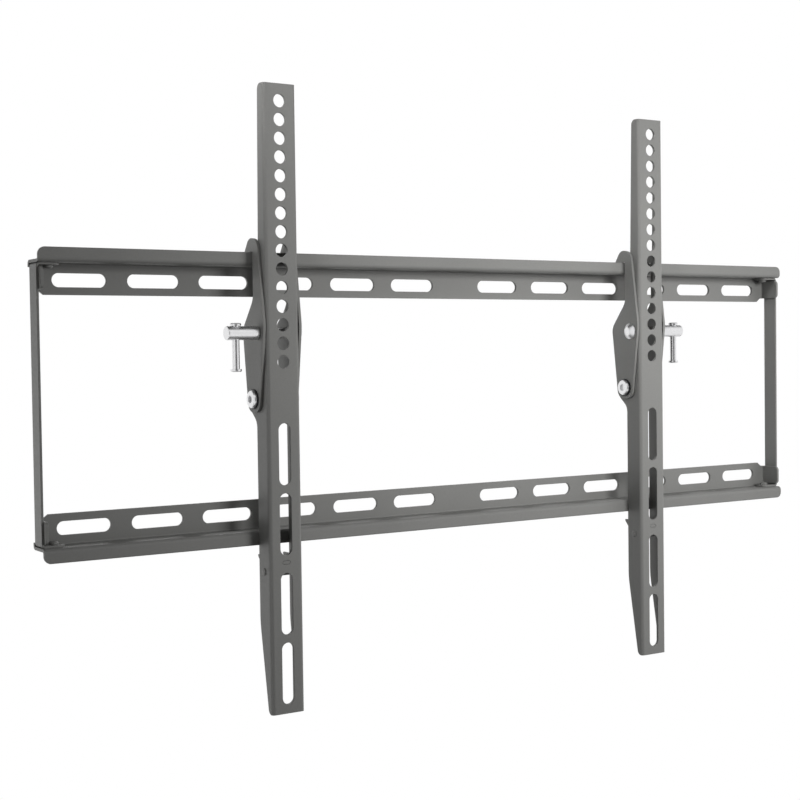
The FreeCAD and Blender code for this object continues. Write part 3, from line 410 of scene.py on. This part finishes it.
def cut_thread(tree, shank, across, pitch):
    """Draw a shank in along a helix, so that its crests keep the full width."""
    place = add_node(tree, "GeometryNodeInputPosition").outputs[0]
    parts = add_node(tree, "ShaderNodeSeparateXYZ", {0: place}).outputs
    angle = add_node(tree, "ShaderNodeMath", {0: parts["Y"], 1: parts["X"]}, operation="ARCTAN2")
    turns = add_node(tree, "ShaderNodeMath", {
        0: angle.outputs[0], 1: 2 * math.pi}, operation="DIVIDE")
    pitches = add_node(tree, "ShaderNodeMath", {0: parts["Z"], 1: pitch}, operation="DIVIDE")
    phase = add_node(tree, "ShaderNodeMath", {
        0: pitches.outputs[0], 1: turns.outputs[0]}, operation="SUBTRACT")
    wave = add_node(tree, "ShaderNodeMath", {0: phase.outputs[0], 1: 0.5}, operation="PINGPONG")
    depth = add_node(tree, "ShaderNodeMath", {
        0: wave.outputs[0], 1: pitch}, operation="MULTIPLY")
    share = add_node(tree, "ShaderNodeMath", {0: depth.outputs[0], 1: across}, operation="DIVIDE")
    keep = add_node(tree, "ShaderNodeMath", {
        0: share.outputs[0], 1: -2.0, 2: 1.0}, operation="MULTIPLY_ADD").outputs[0]
    factor = add_node(tree, "ShaderNodeCombineXYZ", {"X": keep, "Y": keep, "Z": 1.0})
    drawn = add_node(tree, "ShaderNodeVectorMath", {
        0: place, 1: factor.outputs[0]}, operation="MULTIPLY")
    return add_node(tree, "GeometryNodeSetPosition", {
        "Geometry": shank, "Position": drawn.outputs[0]}).outputs[0]


def spread(tree, inputs, shape):
    """Shade a shape, set it on every point along the point's facing, and give it its material."""
    smooth = add_node(tree, "GeometryNodeSetShadeSmooth", {
        "Geometry": shape, "Shade Smooth": True}, domain="FACE")
    fold = add_node(tree, "GeometryNodeInputMeshEdgeAngle").outputs["Unsigned Angle"]
    sharp = add_node(tree, "FunctionNodeCompare", {
        0: fold, 1: SMOOTH_FOLD}, data_type="FLOAT", operation="GREATER_THAN")
    shaded = add_node(tree, "GeometryNodeSetShadeSmooth", {
        "Geometry": smooth.outputs[0], "Selection": sharp.outputs[0], "Shade Smooth": False}, domain="EDGE")
    facing = add_node(tree, "GeometryNodeInputNamedAttribute", {
        "Name": "facing"}, data_type="FLOAT_VECTOR")
    turn = add_node(tree, "FunctionNodeAlignRotationToVector", {"Vector": facing.outputs[0]}, axis="Z")
    copies = add_node(tree, "GeometryNodeInstanceOnPoints", {
        "Points": inputs["Points"], "Instance": shaded.outputs[0], "Rotation": turn.outputs[0]})
    solid = add_node(tree, "GeometryNodeRealizeInstances", {"Geometry": copies.outputs[0]})
    coated = add_node(tree, "GeometryNodeSetMaterial", {
        "Geometry": solid.outputs[0], "Material": inputs["Material"]})
    add_node(tree, "NodeGroupOutput", {"Geometry": coated.outputs[0]})


def cross_screw(sizes):
    """Pan-head screw with a cross recess and a cut thread."""
    tree, inputs = new_shape("cross_screw", sizes)
    head = domed_head(tree, inputs["Head"], inputs["Head height"])
    recess_top = add_node(tree, "ShaderNodeMath", {
        0: inputs["Head"], 1: RECESS_TOP}, operation="MULTIPLY").outputs[0]
    recess_foot = add_node(tree, "ShaderNodeMath", {
        0: inputs["Head"], 1: RECESS_FOOT}, operation="MULTIPLY").outputs[0]
    wing_height = add_node(tree, "ShaderNodeMath", {
        0: inputs["Head height"], 1: WING_HEIGHT}, operation="MULTIPLY").outputs[0]
    wing = add_node(tree, "GeometryNodeMeshCone", {
        "Vertices": 4, "Radius Top": recess_top, "Radius Bottom": recess_foot, "Depth": wing_height})
    floor = add_node(tree, "ShaderNodeMath", {
        0: inputs["Head height"], 1: RECESS_FLOOR}, operation="MULTIPLY")
    lift = add_node(tree, "ShaderNodeCombineXYZ", {"Z": floor.outputs[0]})
    wings = [add_node(tree, "GeometryNodeTransform", {
        "Geometry": wing.outputs["Mesh"], "Translation": lift.outputs[0], "Rotation": (0, 0, turn),
        "Scale": (1, WING_THICKNESS, WING_STRETCH)}).outputs[0] for turn in (0, math.pi / 2)]
    recessed = add_node(tree, "GeometryNodeMeshBoolean", {
        "Mesh 1": head, "Mesh 2": wings}, operation="DIFFERENCE", solver="EXACT")
    shank = plain_shank(tree, inputs["Shank"], inputs["Length"], THREAD_RINGS)
    thread = cut_thread(tree, shank, inputs["Shank"], inputs["Pitch"])
    screw = add_node(tree, "GeometryNodeJoinGeometry", {
        "Geometry": [recessed.outputs["Mesh"], thread]})
    spread(tree, inputs, screw.outputs[0])
    return tree


def hexagon_nut(sizes):
    """Hexagon nut with its outer corners chamfered."""
    tree, inputs = new_shape("hexagon_nut", sizes)
    height = inputs["Height"]
    tall = add_node(tree, "ShaderNodeMath", {0: height, 1: 2.0}, operation="MULTIPLY").outputs[0]
    corner = add_node(tree, "ShaderNodeMath", {
        0: inputs["Flats"], 1: 1 / math.sqrt(3)}, operation="MULTIPLY")
    prism = add_node(tree, "GeometryNodeMeshCylinder", {
        "Vertices": 6, "Radius": corner.outputs[0], "Depth": tall})
    up = add_node(tree, "ShaderNodeCombineXYZ", {"Z": height})
    stood = add_node(tree, "GeometryNodeTransform", {
        "Geometry": prism.outputs["Mesh"], "Translation": up.outputs[0]})
    # The cone ends the nut at its height, and reaches below the bearing face.
    face_radius = add_node(tree, "ShaderNodeMath", {
        0: inputs["Flats"], 1: NUT_TOP}, operation="MULTIPLY").outputs[0]
    chamfer_end = add_node(tree, "ShaderNodeMath", {
        0: tall, 1: CHAMFER_RUN, 2: face_radius}, operation="MULTIPLY_ADD")
    chamfer = add_node(tree, "GeometryNodeMeshCone", {
        "Vertices": CHAMFER_SIDES, "Radius Top": face_radius,
        "Radius Bottom": chamfer_end.outputs[0], "Depth": tall})
    below = add_node(tree, "ShaderNodeMath", {0: height, 1: -1.0}, operation="MULTIPLY")
    down = add_node(tree, "ShaderNodeCombineXYZ", {"Z": below.outputs[0]})
    sunk = add_node(tree, "GeometryNodeTransform", {
        "Geometry": chamfer.outputs["Mesh"], "Translation": down.outputs[0]})
    chamfered = add_node(tree, "GeometryNodeMeshBoolean", {
        "Mesh 2": [stood.outputs[0], sunk.outputs[0]]}, operation="INTERSECT", solver="EXACT")
    bore_radius = add_node(tree, "ShaderNodeMath", {
        0: inputs["Bore"], 1: 0.5}, operation="MULTIPLY")
    bore = add_node(tree, "GeometryNodeMeshCylinder", {
        "Vertices": SHANK_SIDES, "Radius": bore_radius.outputs[0], "Depth": tall})
    half = add_node(tree, "ShaderNodeMath", {0: height, 1: 0.5}, operation="MULTIPLY")
    middle = add_node(tree, "ShaderNodeCombineXYZ", {"Z": half.outputs[0]})
    at_middle = add_node(tree, "GeometryNodeTransform", {
        "Geometry": bore.outputs["Mesh"], "Translation": middle.outputs[0]})
    bored = add_node(tree, "GeometryNodeMeshBoolean", {
        "Mesh 1": chamfered.outputs["Mesh"], "Mesh 2": [at_middle.outputs[0]],
    }, operation="DIFFERENCE", solver="EXACT")
    spread(tree, inputs, bored.outputs["Mesh"])
    return tree


def domed_rivet(sizes):
    """Rivet with a domed head at both ends."""
    tree, inputs = new_shape("domed_rivet", sizes)
    head = domed_head(tree, inputs["Head"], inputs["Head height"])
    shank = plain_shank(tree, inputs["Shank"], inputs["Grip"], 1)
    down = add_node(tree, "ShaderNodeMath", {0: inputs["Grip"], 1: -1.0}, operation="MULTIPLY")
    foot = add_node(tree, "ShaderNodeCombineXYZ", {"Z": down.outputs[0]})
    tail = add_node(tree, "GeometryNodeTransform", {
        "Geometry": head, "Translation": foot.outputs[0], "Rotation": (math.pi, 0, 0)})
    rivet = add_node(tree, "GeometryNodeJoinGeometry", {
        "Geometry": [head, shank, tail.outputs[0]]})
    spread(tree, inputs, rivet.outputs[0])
    return tree


def set_fasteners(name, shape, sizes, places, node, body):
    """Set a coated shape at places, each a point and a facing, as one mesh that stands for a node."""
    seeds = bpy.data.meshes.new(f"{name}_places")
    seeds.from_pydata([point for point, facing in places], [], [])
    facings = seeds.attributes.new("facing", "FLOAT_VECTOR", "POINT")
    facings.data.foreach_set("vector", [part for point, facing in places for part in facing])
    carrier = bpy.data.objects.new(f"{name}_carrier", seeds)
    bpy.context.scene.collection.objects.link(carrier)
    modifier = carrier.modifiers.new("shape", "NODES")
    modifier.node_group = shape(sizes)
    values = {**sizes, "Material": bpy.data.materials["powder_coated_steel"]}
    for item in modifier.node_group.interface.items_tree:
        if item.in_out == "INPUT" and item.name in values:
            modifier[item.identifier] = values[item.name]
    graph = bpy.context.evaluated_depsgraph_get()
    mesh = bpy.data.meshes.new_from_object(carrier.evaluated_get(graph))
    bpy.data.objects.remove(carrier)
    if not mesh.polygons:
        raise RuntimeError(f"{name} came out empty")
    piece = bpy.data.objects.new(name, mesh)
    bpy.context.scene.collection.objects.link(piece)
    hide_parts(node)
    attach(piece, body)


def corner_axis(own):
    """How far across and how far back the axes of the corner screws stand."""
    low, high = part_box("corner_screws")
    return high.x - own.screw_head / 2, (low.y + high.y) / 2


class WALL_MOUNT_OT_coat_sheet_metal(bpy.types.Operator):
    """Powder coat the rails, end bars, hook plates, arms and catches"""
    bl_idname = "wall_mount.coat_sheet_metal"
    bl_label = "Coat sheet metal"

    def execute(self, context):
        names = ["upper_rail", "lower_rail", "left_end_bar", "right_end_bar"]
        for side in SIDES:
            names += [f"{side}_{piece}" for piece in
                      ("outer_hook_plate", "inner_hook_plate", "arm", "safety_catch")]
        give(powder_coated_steel(context.scene.wall_mount_finishes), names)
        return {"FINISHED"}


class WALL_MOUNT_OT_plate_hardware(bpy.types.Operator):
    """Zinc plate the pivots, clamps and tommy bars, and make the washers nearly black, which also paints
    the shade beside the pivot heads
    """
    bl_idname = "wall_mount.plate_hardware"
    bl_label = "Plate hardware"

    def execute(self, context):
        finishes = context.scene.wall_mount_finishes
        turned = {"pivot": ("pivot_bolt", "pivot_sleeve_nut"), "clamp": ("clamp_bolt", "clamp_handle")}
        for axle, pieces in turned.items():
            low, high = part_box(f"left_{axle}_bolt")
            centre = (0, (low.y + high.y) / 2, (low.z + high.z) / 2)
            zinc = turned_zinc(f"turned_zinc_{axle}", finishes, centre, (1, 0, 0))
            give(zinc, [f"{side}_{piece}" for side in SIDES for piece in pieces])
        for side in SIDES:
            low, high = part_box(f"{side}_tommy_bar")
            centre = ((low.x + high.x) / 2, (low.y + high.y) / 2, 0)
            give(turned_zinc(f"turned_zinc_{side}_bar", finishes, centre, (0, 0, 1)), [f"{side}_tommy_bar"])
        # The washers' near black also paints the shade beside the pivot heads.
        give(black_washer_and_shade_steel(finishes), [f"{side}_pivot_washers" for side in SIDES])
        return {"FINISHED"}


class WALL_MOUNT_OT_set_corner_screws(bpy.types.Operator):
    """Set a cross-recessed screw at each corner of the wall frame"""
    bl_idname = "wall_mount.set_corner_screws"
    bl_label = "Set corner screws"

    def execute(self, context):
        own = context.scene.wall_mount_fasteners
        across, back = corner_axis(own)
        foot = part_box("corner_screws")[1].z - own.screw_length
        sizes = {"Head": own.screw_head, "Head height": own.screw_head_height,
                 "Shank": own.screw_shank, "Length": own.screw_length, "Pitch": own.screw_pitch}
        places = [((out * across, back, up * foot), (0, 0, -up)) for out in (-1, 1) for up in (-1, 1)]
        set_fasteners("corner_cross_screws", cross_screw, sizes, places, "corner_screws", "wall_frame")
        return {"FINISHED"}


class WALL_MOUNT_OT_set_corner_nuts(bpy.types.Operator):
    """Set a hexagon nut on each corner screw"""
    bl_idname = "wall_mount.set_corner_nuts"
    bl_label = "Set corner nuts"

    def execute(self, context):
        own = context.scene.wall_mount_fasteners
        across, back = corner_axis(own)
        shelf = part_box("corner_nuts")[1].z - own.nut_height
        sizes = {"Flats": own.nut_flats, "Height": own.nut_height, "Bore": own.screw_shank + NUT_PLAY}
        places = [((out * across, back, up * shelf), (0, 0, up)) for out in (-1, 1) for up in (-1, 1)]
        set_fasteners("corner_hexagon_nuts", hexagon_nut, sizes, places, "corner_nuts", "wall_frame")
        return {"FINISHED"}


class WALL_MOUNT_OT_set_catch_rivets(bpy.types.Operator):
    """Set the domed rivets that hold the catches in the arms"""
    bl_idname = "wall_mount.set_catch_rivets"
    bl_label = "Set catch rivets"

    def execute(self, context):
        own = context.scene.wall_mount_fasteners
        sizes = {"Head": own.rivet_head, "Head height": own.rivet_head_height,
                 "Shank": own.rivet_shank, "Grip": own.rivet_grip}
        for side in SIDES:
            low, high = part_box(f"{side}_catch_rivets")
            middle = (low + high) / 2
            reach = (high.x - low.x) / 2 - own.rivet_head_height
            places = [((middle.x + out * reach, middle.y, middle.z), (out, 0, 0)) for out in (-1, 1)]
            set_fasteners(f"{side}_domed_rivets", domed_rivet, sizes, places,
                          f"{side}_catch_rivets", f"{side}_arm_body")
        return {"FINISHED"}


class WALL_MOUNT_OT_light_stage(bpy.types.Operator):
    """Set up the camera, the white floor and room, and the soft lights"""
    bl_idname = "wall_mount.light_stage"
    bl_label = "Light stage"

    def execute(self, context):
        stage = context.scene.wall_mount_stage
        context.scene.view_settings.view_transform = "Standard"
        self.set_camera(context.scene, stage)
        self.lay_floor(context.scene, stage)
        self.light_room(context.scene, stage)
        # Each light's place, aim, width, beam and power
        lights = {
            "key": ((0.22, -0.75, 0.2), (0.1, 0, 0.03), 0.3, 80, stage.key_power),
            "right": ((0.6, -0.35, 0.02), (0.2, 0, 0), 0.3, 100, stage.right_power),
            "left": ((-0.65, -0.25, 0.55), (-0.16, 0, 0.33), 0.3, 34, stage.left_power),
            "rim": ((-0.8, 0.25, -0.1), (-0.15, 0, -0.1), 0.3, 60, stage.rim_power),
            "back": ((0.25, 0.85, 0.5), (0, 0, 0), 0.5, 60, stage.back_power),
        }
        for name, (place, aim, width, beam, power) in lights.items():
            lamp = bpy.data.lights.new(name, "AREA")
            lamp.shape = "SQUARE"
            lamp.size = width
            lamp.spread = math.radians(beam)
            lamp.energy = power
            light = bpy.data.objects.new(name, lamp)
            turned = (Vector(aim) - Vector(place)).to_track_quat("-Z", "Y").to_matrix().to_4x4()
            light.matrix_world = Matrix.Translation(place) @ turned
            # Metal shows the white room alone, without hard bright squares.
            light.visible_glossy = False
            context.scene.collection.objects.link(light)
        return {"FINISHED"}

    def set_camera(self, scene, stage):
        """Camera that stands and turns as the stage says."""
        lens = bpy.data.cameras.new("photo_camera")
        lens.sensor_width = SENSOR_WIDTH
        lens.lens = stage.lens
        lens.clip_start = 0.01
        camera = bpy.data.objects.new("photo_camera", lens)
        turned = Matrix.Rotation(-stage.camera_yaw, 4, "Z")
        tilted = Matrix.Rotation(math.pi / 2 - stage.camera_pitch, 4, "X")
        rolled = Matrix.Rotation(stage.camera_roll, 4, "Z")
        camera.matrix_world = Matrix.Translation(stage.camera_place) @ turned @ tilted @ rolled
        scene.collection.objects.link(camera)
        scene.camera = camera

    def lay_floor(self, scene, stage):
        """Grey floor under the mount that is white to the eye and still shows its soft shadow."""
        mesh = bpy.data.meshes.new("floor")
        corners = [(x * stage.floor_reach, y * stage.floor_reach, stage.floor_height)
                   for x, y in ((-1, -1), (1, -1), (1, 1), (-1, 1))]
        mesh.from_pydata(corners, [], [(0, 1, 2, 3)])
        floor = bpy.data.objects.new("floor", mesh)
        scene.collection.objects.link(floor)
        material, tree = new_material("matt_floor")
        share = add_node(tree, "ShaderNodeMath", {
            0: self.seen_rays(tree, FLOOR_MIRRORED), 1: FLOOR_GLOW}, operation="MULTIPLY")
        paint = add_node(tree, "ShaderNodeBsdfDiffuse", {"Color": (*stage.floor_colour, 1)})
        glow = add_node(tree, "ShaderNodeEmission", {"Color": (1, 1, 1, 1), "Strength": 1.0})
        mixed = add_node(tree, "ShaderNodeMixShader", {
            0: share.outputs[0], 1: paint.outputs[0], 2: glow.outputs[0]})
        add_node(tree, "ShaderNodeOutputMaterial", {"Surface": mixed.outputs[0]})
        mesh.materials.append(material)

    def light_room(self, scene, stage):
        """White room, dimmer as a light than as a background. In mirrors its ceiling, and the bay in
        front of the mount where nothing is lit, are as dim as its light."""
        world = bpy.data.worlds.new("white_room")
        world.use_nodes = True
        tree = world.node_tree
        tree.nodes.clear()
        way = add_node(tree, "ShaderNodeTexCoord").outputs["Generated"]
        height = add_node(tree, "ShaderNodeSeparateXYZ", {0: way}).outputs["Z"]
        walls = add_node(tree, "ShaderNodeMapRange", {
            "Value": height, **CEILING_SPAN, "To Min": 0.0, "To Max": 1.0})
        bay = (-math.sin(stage.bay_turn), -math.cos(stage.bay_turn), 0)
        facing = add_node(tree, "ShaderNodeVectorMath", {0: way, 1: bay}, operation="DOT_PRODUCT")
        lit = add_node(tree, "ShaderNodeMapRange", {
            "Value": facing.outputs["Value"], **BAY_SPAN, "To Min": 0.0, "To Max": 1.0})
        bright = add_node(tree, "ShaderNodeMath", {
            0: walls.outputs[0], 1: lit.outputs[0]}, operation="MULTIPLY")
        strength = add_node(tree, "ShaderNodeMath", {
            0: self.seen_rays(tree, bright.outputs[0]), 1: stage.ambient}, operation="MAXIMUM")
        room = add_node(tree, "ShaderNodeBackground", {
            "Color": (1, 1, 1, 1), "Strength": strength.outputs[0]})
        add_node(tree, "ShaderNodeOutputWorld", {"Surface": room.outputs[0]})
        scene.world = world

    def seen_rays(self, tree, mirrored):
        """One for rays to the eye, straight or through glass, and the mirrored share for rays off
        metal."""
        path = add_node(tree, "ShaderNodeLightPath").outputs
        straight = add_node(tree, "ShaderNodeMath", {
            0: path["Is Camera Ray"], 1: path["Is Transmission Ray"]}, operation="MAXIMUM")
        off_metal = add_node(tree, "ShaderNodeMath", {
            0: path["Is Glossy Ray"], 1: mirrored}, operation="MULTIPLY")
        return add_node(tree, "ShaderNodeMath", {
            0: straight.outputs[0], 1: off_metal.outputs[0]}, operation="MAXIMUM").outputs[0]


class WALL_MOUNT_PT_panel(bpy.types.Panel):
    """Steps and settings of the wall mount's looks"""
    bl_label = "Wall mount"
    bl_idname = "WALL_MOUNT_PT_panel"
    bl_space_type = "VIEW_3D"
    bl_region_type = "UI"
    bl_category = "Wall mount"

    def draw(self, context):
        for step in STEPS:
            self.layout.operator(step.bl_idname)
        for group in SETTINGS:
            settings = getattr(context.scene, group)
            box = self.layout.box()
            for name in settings.__annotations__:
                box.prop(settings, name)


SETTINGS = {
    "wall_mount_finishes": WallMountFinishes,
    "wall_mount_fasteners": WallMountFasteners,
    "wall_mount_stage": WallMountStage,
}
STEPS = [
    WALL_MOUNT_OT_coat_sheet_metal,
    WALL_MOUNT_OT_plate_hardware,
    WALL_MOUNT_OT_set_corner_screws,
    WALL_MOUNT_OT_set_corner_nuts,
    WALL_MOUNT_OT_set_catch_rivets,
    WALL_MOUNT_OT_light_stage,
]


def register():
    for part in (*SETTINGS.values(), *STEPS, WALL_MOUNT_PT_panel):
        bpy.utils.register_class(part)
    for name, group in SETTINGS.items():
        setattr(bpy.types.Scene, name, PointerProperty(type=group))


def unregister():
    for name in SETTINGS:
        delattr(bpy.types.Scene, name)
    for part in (WALL_MOUNT_PT_panel, *reversed(STEPS), *reversed(SETTINGS.values())):
        bpy.utils.unregister_class(part)


def main():
    register()
    bpy.ops.wall_mount.coat_sheet_metal()
    bpy.ops.wall_mount.plate_hardware()
    bpy.ops.wall_mount.set_corner_screws()
    bpy.ops.wall_mount.set_corner_nuts()
    bpy.ops.wall_mount.set_catch_rivets()
    bpy.ops.wall_mount.light_stage()


if __name__ == "__main__":
    main()
